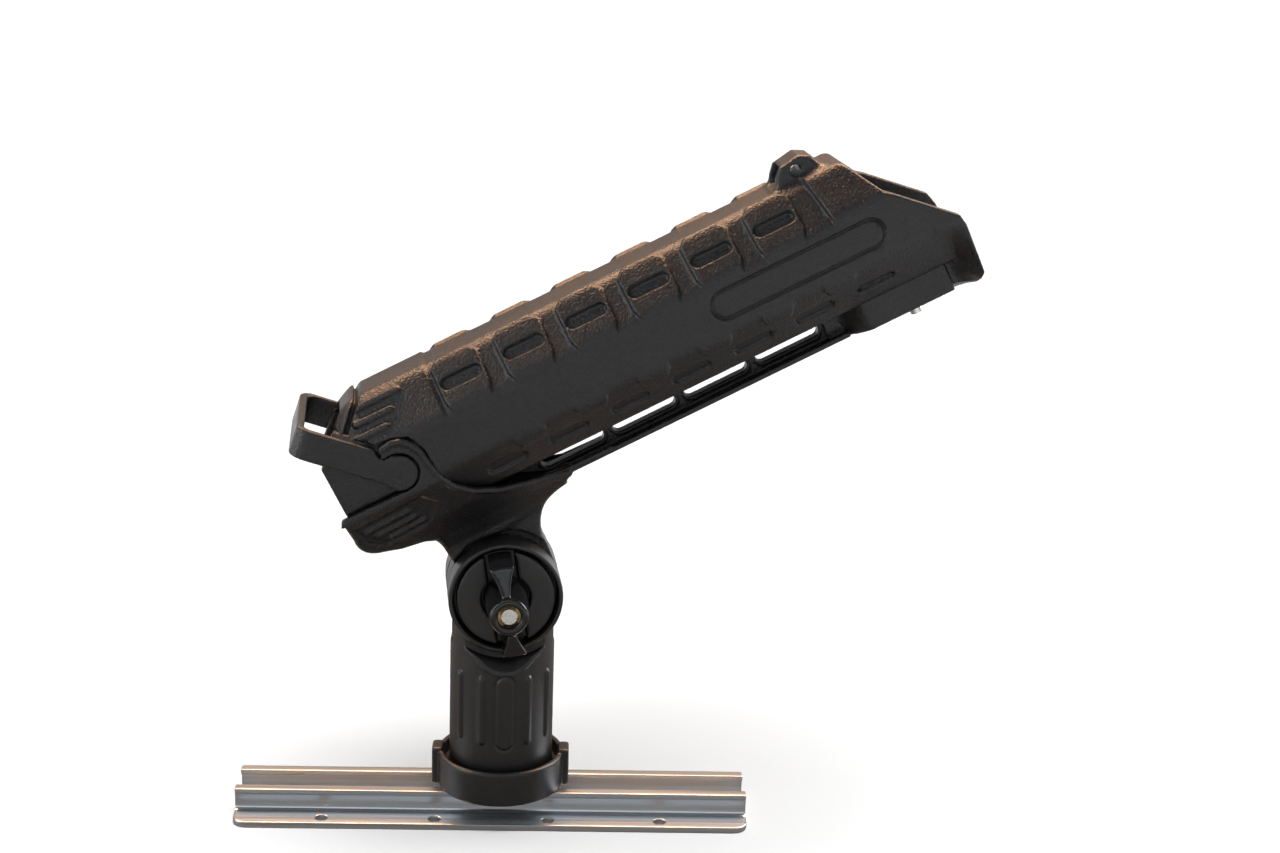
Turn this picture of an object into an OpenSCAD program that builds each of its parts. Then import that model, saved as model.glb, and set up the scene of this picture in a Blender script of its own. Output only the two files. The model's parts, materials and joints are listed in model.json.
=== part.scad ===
// Rail-mounted rod holder: slotted rail, locking base, swivel post with a tilt knob,
// and an open-fronted tube with a swinging butt bail.
// Origin: centre of the rail's underside. +X runs along the rail, +Z is up.

/* [Rail] */
// Length of the slotted rail
rail_length = 203.2; // [180:0.1:300]
// Width of the rail over its flanges
rail_width = 44.45; // [42:0.05:50]
// Height of the rail
rail_height = 11.2; // [11:0.1:12]
// Half the width of the rail's slot opening
slot_half = 6.6; // [6.4:0.1:7]
// Spacing of the mounting holes along the rail
hole_pitch = 44.5; // [38:0.5:46]
// Radius of a mounting hole
hole_radius = 2.35; // [2:0.05:2.6]
// Place of the base along the rail
base_x = 3; // [-60:1:60]

/* [Post] */
// Outer radius of the swivel post
post_radius = 20.5; // [20:0.1:20.6]
// Outer radius of the locking collar
collar_radius = 25; // [24.6:0.1:26]
// Height of the tilt pivot above the rail's underside
pivot_z = 95.3; // [92:0.1:120]
// Direction that the tube faces, turned about the post
rest_yaw = 5; // [-90:1:90]
// Outer radius of the two fork cheeks round the tilt pivot
drum_radius = 22.15; // [21.5:0.05:22.3]
// Half the depth of the fork over both cheeks
fork_half = 16.8; // [16:0.1:17.5]

/* [Tube] */
// Upward tilt of the tube at rest
tube_tilt = 27; // [0:1:60]
// Half the outer width of the tube
tube_half = 26; // [25.5:0.1:27]
// Height of the tube's top face above the pivot, square to the tube
tube_top = 96; // [95:0.5:98]
// Height of the tube's bottom face above the pivot, square to the tube
tube_floor = 43.2; // [43:0.1:43.6]
// Spacing of the raised grip pads along the tube
pad_pitch = 25.7; // [25:0.1:26]
// Number of grip pads on each shoulder
pad_count = 6; // [1:1:6]
// Number of see-through slots in the web under the tube
web_slots = 4; // [1:1:4]

/* [Bail] */
// Reach of the bail from its pivot to the outer face of its crossbar
bail_reach = 41; // [38:0.5:44]
// Width of the bail's flat band
bail_width = 11.5; // [9:0.5:12]
// Angle of the bail's arms above the tube's axis at rest
bail_rise = 44.5; // [30:0.5:45]

/* [Knob] */
// Radius of the knob's hub
hub_radius = 8.25; // [7.5:0.05:9]
// Reach of the knob's wings from its axis
wing_reach = 18.6; // [15:0.1:18.8]
// Turn of the wings away from upright
wing_turn = 9; // [0:1:90]

/* [Hidden] */
$fn = 96;

flange_thick = 2.5;
flange_corner = 6;
hole_y = rail_width / 2 - 5;
channel_half = 8.6;
lip_under = 9;
channel_floor = 2.2;

seat_z = rail_height + 0.05;
foot_top = 15.2;
foot_radius = 21.9;
spigot_radius = 15;
spigot_top = 62;
screw_x = 16.9;
collar_bottom = rail_height + 0.3;
collar_top = 25.6;
post_bottom = 16.5;
bush_radius = 17;
cavity_top = 62.6;

tongue_half = 5;
cheek_inner = 5.2;
neck_half = 6.8;
neck_relief = 24.8;
eye_radius = 22;
friction_thick = 1.5;
rim_inner = 20.25;
pocket_floor = 10;
bolt_radius = 3;
scoop_radius = 25.5;
scoop_lip = 28.5;
scoop_floor = 13.5;

disc_radius = 19;
disc_front = 16.4;
disc_back = 11.5;
disc_slot_floor = 13.4;
hub_front = 37;
wing_front = 31;
insert_radius = 4.3;

boss_a = -12;
boss_b = 66.5;
boss_radius = 6.9;
arm_inner = 23.8;
arm_outer = 26.8;
waist_half = 23.4;
cheek_outer = 26.4;
hook_tip = [-13.3, 76.7];
pin_radius = 2;
side_low = 59;
side_high = 79;
tube_rear = -37.4;
lip_start = 205.5;
lip_end = 217.3;
seam = [[1.9, 51.6], [8.6, 46.5], [18, 40.5]];
front_screw = 191;
rear_screw = [-25, 6];
keel_seat = 36.5;
block_low = 28.5;

shoulder = [(tube_half + 12) / 2, 87.5];
shoulder_angle = atan2(17, tube_half - 12);
first_pad = 24.2;
pad_length = 17;
pad_height = 0.8;
first_slot = 48.4;
slot_pitch = 30.5;
slot_length = 26.4;
web_half = 3;
rail_half = 9;
rail_low = 29.5;
rail_high = 33.9;
slot_height = 38.7;

black = [0.09, 0.09, 0.1];
satin_black = [0.14, 0.14, 0.15];
steel = [0.75, 0.76, 0.78];
brass = [0.75, 0.6, 0.3];

// Frames: the post's, the pivot's, the tube's and the bail's.
module at_post() { translate([base_x, 0, 0]) rotate([0, 0, rest_yaw]) children(); }
module at_pivot() { at_post() translate([0, 0, pivot_z]) children(); }
module at_tube() { at_pivot() rotate([0, -tube_tilt, 0]) children(); }
module at_bail() {
    at_tube() translate([boss_a, 0, boss_b]) rotate([0, bail_rise - 180, 0]) children();
}
module both_sides() {
    children();
    mirror([0, 1, 0]) children();
}

// A round bar across the pivot, from one depth to another.
module cross_bar(r, from, to) {
    translate([0, from, 0]) rotate([-90, 0, 0]) cylinder(r = r, h = to - from);
}
// A side outline made as thick as the two depths given.
module side_slab(from, to) {
    translate([0, to, 0]) rotate([90, 0, 0]) linear_extrude(to - from) children();
}
// A cross-section carried along the tube.
module along_tube(from, to) {
    translate([from, 0, 0]) rotate([90, 0, 90]) linear_extrude(to - from) children();
}
module ring(outer, inner, h) {
    difference() {
        cylinder(r = outer, h = h);
        translate([0, 0, -1]) cylinder(r = inner, h = h + 2);
    }
}
module oblong(length, width) {
    square([length - width, width], center = true);
    for (s = [-1, 1]) translate([s * (length - width) / 2, 0]) circle(d = width);
}
function mirrored(half) = concat(half, [for (i = [len(half) - 1:-1:0]) [-half[i][0], half[i][1]]]);
function arc(c, r, from, to, steps) =
    [for (i = [0:steps]) let (t = from + (to - from) * i / steps) c + r * [cos(t), sin(t)]];

// ---- Rail and base ----

module rail_section() {
    wall = channel_half + 1.6;
    polygon(mirrored([
        [rail_width / 2, 0],
        [rail_width / 2, flange_thick],
        [wall + 1.2, flange_thick],
        [wall, flange_thick + 1.2],
        [wall, rail_height - 2],
        [wall + 0.8, rail_height - 1.9],
        [wall + 0.8, rail_height],
        [slot_half, rail_height],
        [slot_half, lip_under],
        [channel_half, lip_under],
        [channel_half, channel_floor]
    ]));
}

module track_rail() {
    x = rail_length / 2;
    y = rail_width / 2;
    c = flange_corner;
    color(steel) difference() {
        intersection() {
            translate([-x, 0, 0]) rotate([90, 0, 90]) linear_extrude(rail_length) rail_section();
            union() {
                translate([-x + c, -y, -1]) cube([2 * (x - c), 2 * y, 20]);
                translate([-x, -y + c, -1]) cube([2 * x, 2 * (y - c), 20]);
                for (sx = [-1, 1], sy = [-1, 1])
                    translate([sx * (x - c), sy * (y - c), -1]) cylinder(r = c, h = 20);
            }
        }
        for (i = [-1.5:1:1.5], s = [-1, 1])
            translate([i * hole_pitch, s * hole_y, -1]) cylinder(r = hole_radius, h = 5);
    }
}

module track_nuts() {
    color(steel) for (s = [-1, 1]) translate([base_x + s * screw_x, 0, 4.2]) difference() {
        translate([-6, -8.3, 0]) cube([12, 16.6, 4.5]);
        translate([0, 0, -1]) cylinder(r = 2.52, h = 7);
    }
}

module base_screws() {
    color(steel) for (s = [-1, 1]) translate([base_x + s * screw_x, 0, 3]) difference() {
        union() {
            cylinder(r = 2.5, h = 9.8);
            translate([0, 0, 9.7]) cylinder(r1 = 2.5, r2 = 4.5, h = foot_top - 12.7);
        }
        translate([0, 0, 10.4]) cylinder(r = 1.7, h = 5, $fn = 6);
    }
}

module base_foot() {
    color(satin_black) translate([base_x, 0, 0]) difference() {
        union() {
            translate([0, 0, seat_z]) cylinder(r = foot_radius, h = foot_top - seat_z);
            translate([0, 0, 12.4]) cylinder(r = foot_radius + 1.3, h = 1.6);
            cylinder_from(spigot_radius, foot_top - 1, spigot_top);
            translate([-21, -slot_half + 0.3, 8.9]) cube([42, 2 * slot_half - 0.6, 3]);
        }
        cylinder_from(11, foot_top + 1, spigot_top + 1);
        for (s = [-1, 1]) translate([s * screw_x, 0, 0]) {
            cylinder(r = 2.55, h = 20);
            translate([0, 0, 12.7]) cylinder(r1 = 2.55, r2 = 4.55, h = foot_top - 12.7);
        }
    }
}
module cylinder_from(r, low, high) { translate([0, 0, low]) cylinder(r = r, h = high - low); }

module base_washer() {
    color("dimgray") translate([base_x, 0, foot_top]) ring(post_radius - 0.1, spigot_radius + 0.3, 1);
}

module locking_collar() {
    lip_low = 18.95;
    color(satin_black) translate([base_x, 0, 0]) difference() {
        union() {
            cylinder_from(collar_radius, collar_bottom, collar_top);
            for (s = [-1, 1])
                translate([s * (collar_radius + 0.1) - 2.2, -4.5, collar_bottom]) cube([4.4, 9, 15.4]);
        }
        cylinder_from(foot_radius + 0.3, collar_bottom - 1, collar_top + 2);
        cylinder_from(foot_radius + 1.6, 12.1, 14.3);
        cylinder_from(foot_radius + 0.7, lip_low + 1.3, collar_top + 3);
    }
    color(satin_black) translate([base_x, 0, lip_low])
        ring(foot_radius + 0.3, post_radius + 0.35, 1.3);
}

// ---- Post, bolt and knob ----

module post_ribs() {
    for (front = [0, 180], turn = [-55, -26, 26, 55]) rotate([0, 0, front + turn])
        translate([0, -post_radius + 0.3, 37]) {
            cylinder(r = 1.3, h = 26);
            sphere(r = 1.3);
            translate([0, 0, 26]) sphere(r = 1.3);
        }
}

module post_badge() {
    intersection() {
        translate([0, 0, 49]) rotate([90, 90, 0]) linear_extrude(30) oblong(31, 7);
        cylinder_from(post_radius + 0.4, 30, 70);
    }
}

// Clears the post's front round the cheek, down to a lip with a sloping edge.
module scoop() {
    cross_bar(scoop_radius, -40, -scoop_floor);
    translate([0, -post_radius - 0.01, 0]) rotate([-90, 0, 0])
        cylinder(r1 = scoop_lip, r2 = scoop_radius, h = 3);
}

module swivel_post() {
    color(satin_black) at_post() difference() {
        union() {
            difference() {
                union() {
                    cylinder_from(post_radius, post_bottom, pivot_z);
                    cylinder_from(foot_radius - 0.2, post_bottom, post_bottom + 2.2);
                }
                translate([0, 0, pivot_z]) both_sides() scoop();
            }
            translate([0, 0, pivot_z]) cross_bar(drum_radius, -fork_half, fork_half);
            post_ribs();
            post_badge();
        }
        cylinder_from(bush_radius, post_bottom - 1, cavity_top);
        translate([-40, -cheek_inner, pivot_z - eye_radius - 0.7])
            cube([80, 2 * cheek_inner, 60]);
        translate([0, 0, pivot_z]) {
            cross_bar(rim_inner, -30, -pocket_floor);
            cross_bar(bolt_radius + 0.1, -30, 30);
            rotate([-90, 30, 0]) translate([0, 0, 11]) cylinder(d = 11.78, h = 20, $fn = 6);
        }
    }
}

module post_bush() {
    color("ivory") translate([base_x, 0, post_bottom])
        ring(bush_radius - 0.02, spigot_radius + 0.06, cavity_top - post_bottom - 0.6);
}

module tilt_bolt() {
    color(steel) at_pivot() {
        cross_bar(bolt_radius, -35.6, 11.1);
        rotate([-90, 30, 0]) translate([0, 0, 11]) cylinder(d = 11.5, h = 4, $fn = 6);
    }
}

module thrust_washer() {
    color(steel) at_pivot() difference() {
        cross_bar(9, -pocket_floor - 1.2, -pocket_floor);
        cross_bar(bolt_radius + 0.2, -20, 0);
    }
}

module knob_disc() {
    color(satin_black) at_pivot() rotate([0, -wing_turn, 0]) difference() {
        cross_bar(disc_radius, -disc_front, -disc_back);
        translate([-5.9, -30, -25]) cube([11.8, 30 - disc_slot_floor, 50]);
        cross_bar(9.5, -30, -disc_slot_floor);
        cross_bar(bolt_radius + 0.3, -30, 0);
    }
}

module wing_outline() {
    for (s = [0, 180]) rotate(s) intersection() {
        polygon([[-1.4, 4], [-4.75, wing_reach], [-5, 30], [5, 30], [4.75, wing_reach], [1.4, 4]]);
        circle(r = wing_reach);
    }
}

module wing_knob() {
    color(black) at_pivot() rotate([0, -wing_turn, 0]) difference() {
        union() {
            cross_bar(hub_radius, -hub_front, -disc_slot_floor);
            side_slab(-wing_front, -disc_slot_floor) wing_outline();
        }
        cross_bar(insert_radius, -40, -disc_slot_floor + 1);
    }
}

module brass_insert() {
    color(brass) at_pivot() difference() {
        cross_bar(insert_radius - 0.02, -31, -disc_slot_floor);
        cross_bar(bolt_radius + 0.06, -40, 0);
    }
}

// ---- Cradle: neck, keel, web and lower rail ----

// The neck's side outline, from the pivot's eye to the lower rail.
module neck_outline() {
    fillet = [40.5, 10.4];
    circle(r = eye_radius);
    polygon(concat(
        arc(fillet, 17.6, 90, 186, 10),
        [[22, -2], [0, 0], [-11, 18], [-11.3, 23]],
        arc([-15.8, 27.6], 5, 0, 76, 5),
        [[-12, 40], [20, 41], [30, 36]]
    ));
}

// The keel's side outline, from the tube's rear end to the lower rail.
module keel_outline() {
    polygon(concat(
        [[-12, 20]],
        [[-13.6, 31.6], [-18, 33.1], [-26.6, 35]],
        arc([-30.8, 46.8], 9.2, 256, 165, 6),
        [[-39.6, 59.3], [0, 59.3]],
        seam,
        [[30, 36], [44, 33.5], [44, rail_low], [24, 26]]
    ));
}

module keel_section() {
    polygon(mirrored([[26.2, 59.3], [26.2, 56.5], [18.4, 42], [10, 32], [neck_half, 26], [neck_half, 20]]));
}

module waist_section() {
    polygon(mirrored([
        [12, tube_top],
        [waist_half, 82.2],
        [waist_half, 60.2],
        [13.8, tube_floor]
    ]));
}

// The C-shaped cheek that wraps the bail's boss.
module hook_outline() {
    difference() {
        polygon(concat(
            [[-39.6, 59.3], [-41, 56.6], [1, 56.6], [0, 60]],
            arc([-9.5, 69.5], 9.2, 0, 100, 8),
            [hook_tip + [-0.6, 1.5], hook_tip]
        ));
        translate([boss_a, boss_b]) {
            circle(r = boss_radius + 0.5);
            rotate(180 - bail_rise) translate([0, -bail_width / 2 - 0.3])
                square([40, bail_width + 0.6]);
        }
        polygon([[-60, 59.35], [boss_a, 59.3], [boss_a, 72], [-60, 100]]);
    }
    translate(hook_tip) circle(r = 2.1);
}

module web_openings() {
    for (i = [0:web_slots - 1])
        translate([first_slot + i * slot_pitch, slot_height]) oblong(slot_length, 5.2);
}

// The heavy block under the mouth, with a keeled underside.
module front_block() {
    intersection() {
        side_slab(-16, 16)
            polygon([[155, 20], [lip_start, 20], [lip_start, tube_floor], [158, tube_floor]]);
        along_tube(150, lip_start)
            polygon(mirrored([[16, tube_floor + 1], [16, 32.4], [8, block_low]]));
    }
}

module cradle() {
    color(black) at_tube() difference() {
        union() {
            side_slab(-tongue_half, tongue_half) neck_outline();
            difference() {
                side_slab(-neck_half, neck_half) neck_outline();
                cross_bar(neck_relief, -20, 20);
            }
            intersection() {
                along_tube(-50, 44.2) keel_section();
                side_slab(-30, 30) keel_outline();
            }
            along_tube(24, 160)
                polygon(mirrored([[rail_half, rail_high], [rail_half, 31.8], [5, rail_low]]));
            difference() {
                along_tube(8, 160) translate([-web_half, 30]) square([2 * web_half, tube_floor - 30]);
                side_slab(-10, 10) web_openings();
            }
            front_block();
            both_sides() side_slab(waist_half, cheek_outer) hook_outline();
        }
        along_tube(-60, 240) waist_section();
        both_sides() cross_bar(neck_relief, cheek_inner, 30);
        cross_bar(5, -30, 30);
        both_sides() cross_bar(12, tongue_half - friction_thick, 30);
        screw_places() cylinder(r = 1.65, h = 40);
        both_sides() translate([rear_screw[0], rear_screw[1], 20]) cylinder(r = 2.9, h = keel_seat - 20);
    }
}

module pivot_sleeve() {
    color(brass) at_pivot() difference() {
        cross_bar(4.98, -tongue_half, tongue_half);
        cross_bar(bolt_radius + 0.06, -20, 20);
    }
}

module friction_disc(side) {
    near = side > 0 ? tongue_half - friction_thick : -tongue_half;
    color("dimgray") at_pivot() difference() {
        cross_bar(11.95, near, near + friction_thick);
        cross_bar(5.05, -20, 20);
    }
}
module friction_disc_front() { friction_disc(-1); }
module friction_disc_rear() { friction_disc(1); }

// ---- Tube ----

module tube_section() {
    polygon(mirrored([
        [12, tube_top],
        [tube_half, side_high],
        [tube_half, side_low],
        [16, tube_floor]
    ]));
}

module bore_section() {
    polygon(mirrored([[9.5, 93], [21, side_high], [21, 61], [12.2, 46.2]]));
}

// The area at the tube's rear where its sides are cut in for the bail and the cradle's cheeks.
module waist_outline() {
    polygon(concat(
        [[0.3, 60]],
        seam,
        [[18, 30], [-60, 30], [-60, 110], [-24, 87], [-15.5, 80], [-9, 79.5], [-3, 77.3], [0.1, 70]]
    ));
}

// Side outline of the whole tube: rear end with a slanted top, cut-away mouth and front lip.
module tube_outline() {
    polygon([
        [tube_rear, 40], [tube_rear, 79.8], [-21.5, 95.7], [-12, 98], [-9, tube_top],
        [183, tube_top], [187, 93], [194, 81], [196.8, 79.3], [216.4, 60.8], [lip_end, 56.5],
        [lip_end, 36], [213, 20], [150, 20]
    ]);
}

module shoulder_frame(a) {
    translate([a, shoulder[0], shoulder[1]]) rotate([-shoulder_angle, 0, 0]) children();
}

module grip_pads() {
    for (i = [0:pad_count - 1]) shoulder_frame(first_pad + i * pad_pitch) difference() {
        translate([0, 0, -1]) linear_extrude(pad_height + 1) polygon([
            [-pad_length / 2, -4.8], [-pad_length / 2 + 3, -8.6], [pad_length / 2 - 3, -8.6],
            [pad_length / 2, -4.8], [pad_length / 2, 7], [pad_length / 2 - 2, 10.8],
            [-pad_length / 2 + 2, 10.8], [-pad_length / 2, 7]
        ]);
        translate([0, 0, -0.4]) linear_extrude(2) oblong(14.5, 5.5);
    }
}

module louvre_ribs() {
    for (i = [0:2]) shoulder_frame(-7.5 - 4 * i) translate([0, -8 + 6.2 * i, -0.4])
        rotate([0, 90, 0]) translate([0, 0, -7]) cylinder(r = 1.4, h = 14);
}

module name_panel() {
    translate([153.5, 0, 69.5]) rotate([90, 0, 0])
        translate([0, 0, -tube_half - 0.3]) linear_extrude(1) oblong(70, 10.7);
}

// The squared lip that flares out below the mouth.
module lip_solid() {
    hull() {
        along_tube(lip_start, lip_start + 0.5)
            polygon(mirrored([[26, 72], [26, 59], [16, 45], [16, 32.4], [8, block_low]]));
        along_tube(lip_end - 0.8, lip_end)
            polygon(mirrored([[25.8, 62], [25.4, 37], [21, 32], [12, 29]]));
    }
}

// Opens the tube's top for a reel, ahead of the lug.
module front_mouth() {
    side_slab(-9.5, 9.5) polygon([[181, 90], [240, 40], [240, 120], [183, 120]]);
}

module screw_places() {
    for (p = [[front_screw, 0], rear_screw, [rear_screw[0], -rear_screw[1]]])
        translate([p[0], p[1], 24]) children();
}

// Everything that is cut from the tube's outside.
module tube_hollows() {
    along_tube(-80, 240) bore_section();
    translate([lip_end - 8, -13, 31.5]) cube([20, 26, 11]);
    translate([boss_a, 0, boss_b]) cross_bar(pin_radius, -40, 40);
    screw_places() cylinder(r = 1.5, h = 40);
    front_mouth();
}

module tube_outside() {
    difference() {
        union() {
            along_tube(-50, lip_start) tube_section();
            both_sides() grip_pads();
            both_sides() louvre_ribs();
            both_sides() name_panel();
        }
        both_sides() side_slab(12, 60) waist_outline();
    }
    intersection() {
        along_tube(-50, 30) waist_section();
        side_slab(-40, 40) waist_outline();
    }
}

// One length of the tube's wall: the part between two heights and two depths.
module tube_wall(low, high, from, to) {
    color(black) at_tube() difference() {
        intersection() {
            side_slab(-40, 40) tube_outline();
            tube_outside();
            translate([-60, from, low]) cube([lip_start + 60, to - from, high - low]);
        }
        tube_hollows();
    }
}

module tube_top_shell() { tube_wall(side_high, 120, -40, 40); }
module tube_bottom_shell() { tube_wall(0, side_low, -40, 40); }
module tube_left_side() { tube_wall(side_low, side_high, 0, 40); }
module tube_right_side() { tube_wall(side_low, side_high, -40, 0); }

module tube_front_lip() {
    color(black) at_tube() difference() {
        intersection() {
            side_slab(-40, 40) tube_outline();
            lip_solid();
        }
        tube_hollows();
    }
}

// The raised eye for a leash, on the tube's top.
module strap_lug() {
    color(black) at_tube() difference() {
        side_slab(-8, 8) polygon([[160.5, tube_top], [161.4, 99.6], [164.1, 102.9], [172.6, 104.2],
                                  [177, 101.8], [180, tube_top]]);
        translate([169.5, 0, 99.3]) cross_bar(2.2, -30, 30);
    }
}

module shell_screws() {
    rear_seat = keel_seat - 0.2;
    color(steel) at_tube() for (p = [[front_screw, 0, block_low], [rear_screw[0], rear_screw[1], rear_seat],
                                     [rear_screw[0], -rear_screw[1], rear_seat]])
        translate([p[0], p[1], p[2] - 2.2]) {
            cylinder(r = 2.6, h = 2.2);
            cylinder(r = 1.48, h = 45.6 - p[2] + 2.2);
        }
}

module bail_pins() {
    color(steel) at_tube() translate([boss_a, 0, boss_b])
        both_sides() cross_bar(pin_radius - 0.02, 21.1, 25.9);
}

// ---- Bail ----

module bail_plan() {
    difference() {
        union() {
            translate([0, -arm_outer]) square([bail_reach - 5, 2 * arm_outer]);
            translate([0, -arm_outer + 5]) square([bail_reach, 2 * arm_outer - 10]);
            for (s = [-1, 1]) translate([bail_reach - 5, s * (arm_outer - 5)]) circle(r = 5);
        }
        translate([-1, -arm_inner]) square([bail_reach - 4.5, 2 * arm_inner]);
        translate([-1, -arm_inner + 2.5]) square([bail_reach - 2, 2 * arm_inner - 5]);
        for (s = [-1, 1]) translate([bail_reach - 5.5, s * (arm_inner - 2.5)]) circle(r = 2.5);
    }
}

module bail() {
    color(black) difference() {
        at_bail() {
            translate([0, 0, -bail_width / 2]) linear_extrude(bail_width) bail_plan();
            both_sides() cross_bar(boss_radius, arm_inner, arm_outer);
        }
        at_bail() both_sides() cross_bar(pin_radius + 0.06, arm_inner - 1, 26.1);
        at_tube() translate([hook_tip[0], 0, hook_tip[1]]) both_sides() cross_bar(2.7, 20, 30);
    }
}

track_rail();
track_nuts();
base_screws();
base_foot();
base_washer();
locking_collar();
swivel_post();
post_bush();
tilt_bolt();
thrust_washer();
knob_disc();
wing_knob();
brass_insert();
cradle();
pivot_sleeve();
friction_disc_front();
friction_disc_rear();
tube_top_shell();
tube_left_side();
tube_right_side();
tube_bottom_shell();
tube_front_lip();
strap_lug();
shell_screws();
bail_pins();
bail();
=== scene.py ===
"""Looks for the rail-mounted rod holder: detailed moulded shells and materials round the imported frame.

Shells are made as distance fields on a grid, in millimetres in their part's own frame, so that every edge
has a moulded radius. Negative is inside. Each field becomes one closed mesh.
"""

import json
import math

import bpy
import numpy as np
import openvdb
from mathutils import Euler, Matrix, Vector


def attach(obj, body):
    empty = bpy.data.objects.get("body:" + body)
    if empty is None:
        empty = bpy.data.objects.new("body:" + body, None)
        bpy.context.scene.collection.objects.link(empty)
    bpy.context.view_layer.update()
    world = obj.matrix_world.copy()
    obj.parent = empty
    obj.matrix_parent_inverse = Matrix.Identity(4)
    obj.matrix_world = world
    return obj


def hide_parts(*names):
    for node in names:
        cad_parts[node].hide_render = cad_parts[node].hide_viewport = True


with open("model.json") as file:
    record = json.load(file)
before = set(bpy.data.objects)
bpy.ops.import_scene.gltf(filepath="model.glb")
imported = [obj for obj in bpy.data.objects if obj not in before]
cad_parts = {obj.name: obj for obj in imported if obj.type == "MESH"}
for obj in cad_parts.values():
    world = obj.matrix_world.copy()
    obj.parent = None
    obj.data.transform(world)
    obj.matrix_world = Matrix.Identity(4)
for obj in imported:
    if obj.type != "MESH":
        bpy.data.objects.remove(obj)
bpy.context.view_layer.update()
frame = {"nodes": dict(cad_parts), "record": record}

MM = 0.001
FINE = 1.0

# ---- Frames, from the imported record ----

JOINTS = {j["name"]: j for j in frame["record"]["behaviour"]["joints"]}
TUBE_TILT = math.radians(27)
BAIL_RISE = math.radians(44.5)
KNOB_TURN = math.radians(9)


def joint_point(name):
    return Vector(JOINTS[name]["pos_m"])


ACROSS = -Vector(JOINTS["tilt"]["axis"])  # away from the knob
HEADING = ACROSS.cross(Vector((0, 0, 1)))
PIVOT = joint_point("tilt")


def frame_matrix(x_axis, y_axis, origin):
    """A frame in which pieces are drawn in millimetres, as a matrix to the row frame in metres."""
    z_axis = x_axis.cross(y_axis)
    turn = Matrix((x_axis, y_axis, z_axis)).transposed().to_4x4()
    return Matrix.Translation(origin) @ turn @ Matrix.Scale(MM, 4)


def tilted(angle):
    """The direction that rises from the heading by an angle."""
    return HEADING * math.cos(angle) + Vector((0, 0, math.sin(angle)))


PIVOT_FRAME = frame_matrix(HEADING, ACROSS, PIVOT)
TUBE_FRAME = frame_matrix(tilted(TUBE_TILT), ACROSS, PIVOT)
BAIL_FRAME = frame_matrix(-tilted(TUBE_TILT - BAIL_RISE), ACROSS, joint_point("bail_swing"))
KNOB_FRAME = frame_matrix(tilted(KNOB_TURN), ACROSS, PIVOT)
BASE_FRAME = frame_matrix(Vector((1, 0, 0)), Vector((0, 1, 0)), Vector((PIVOT.x, 0, 0)))
RAIL_FRAME = frame_matrix(Vector((1, 0, 0)), Vector((0, 1, 0)), Vector((0, 0, 0)))

# ---- Distance fields ----


class Grid:
    """A box of points in millimetres. A half grid starts at y = 0 and is mirrored when it is meshed."""

    def __init__(self, low, high, step, half=False):
        self.step = step * FINE
        self.half = half
        self.low = list(low)
        if half:
            self.low[1] = self.step / 2
        counts = [max(4, int((h - lo) / self.step) + 1) for lo, h in zip(self.low, high)]
        line = [lo + self.step * np.arange(n, dtype=np.float32) for lo, n in zip(self.low, counts)]
        self.x = line[0][:, None, None]
        self.y = line[1][None, :, None]
        self.z = line[2][None, None, :]
        self.shape = tuple(counts)


def smooth_min(a, b, k):
    h = np.maximum(k - np.abs(a - b), 0) / k
    return np.minimum(a, b) - h * h * k * 0.25


def smooth_max(a, b, k):
    return -smooth_min(-a, -b, k)


def ramp(value, low, high):
    """0 below low and 1 above high, with a smooth rise between."""
    t = np.clip((value - low) / (high - low), 0, 1)
    return t * t * (3 - 2 * t)


def polygon(points, p, q):
    """Signed distance to a closed outline, where p and q broadcast together."""
    distance = None
    inside = None
    for (x0, y0), (x1, y1) in zip(points, points[1:] + points[:1]):
        ex, ey = x1 - x0, y1 - y0
        wx, wy = p - x0, q - y0
        t = np.clip((wx * ex + wy * ey) / (ex * ex + ey * ey), 0, 1)
        d = (wx - ex * t) ** 2 + (wy - ey * t) ** 2
        above, below = q >= y0, q < y1
        left = ex * wy > ey * wx
        cross = (above & below & left) | (~above & ~below & ~left)
        distance = d if distance is None else np.minimum(distance, d)
        inside = cross if inside is None else inside ^ cross
    return (np.sqrt(distance) * np.where(inside, -1, 1)).astype(np.float32)


def path(points, p, q):
    """Distance to an open line of points."""
    distance = None
    for (x0, y0), (x1, y1) in zip(points, points[1:]):
        ex, ey = x1 - x0, y1 - y0
        wx, wy = p - x0, q - y0
        t = np.clip((wx * ex + wy * ey) / (ex * ex + ey * ey), 0, 1)
        d = (wx - ex * t) ** 2 + (wy - ey * t) ** 2
        distance = d if distance is None else np.minimum(distance, d)
    return np.sqrt(distance).astype(np.float32)


def oblong(p, q, length, width):
    """A round-ended bar that lies along p."""
    reach = (length - width) / 2
    return np.hypot(np.maximum(np.abs(p) - reach, 0), q) - width / 2


def arc(centre, radius, start, end, steps):
    """Points along a round stretch of an outline, from one angle to another in degrees."""
    turns = [math.radians(start + (end - start) * i / steps) for i in range(steps + 1)]
    return [(centre[0] + radius * math.cos(t), centre[1] + radius * math.sin(t)) for t in turns]


def bump(distance, width):
    """A rounded ridge of height 1 about a line."""
    return 1 - ramp(distance, 0, width)


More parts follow.
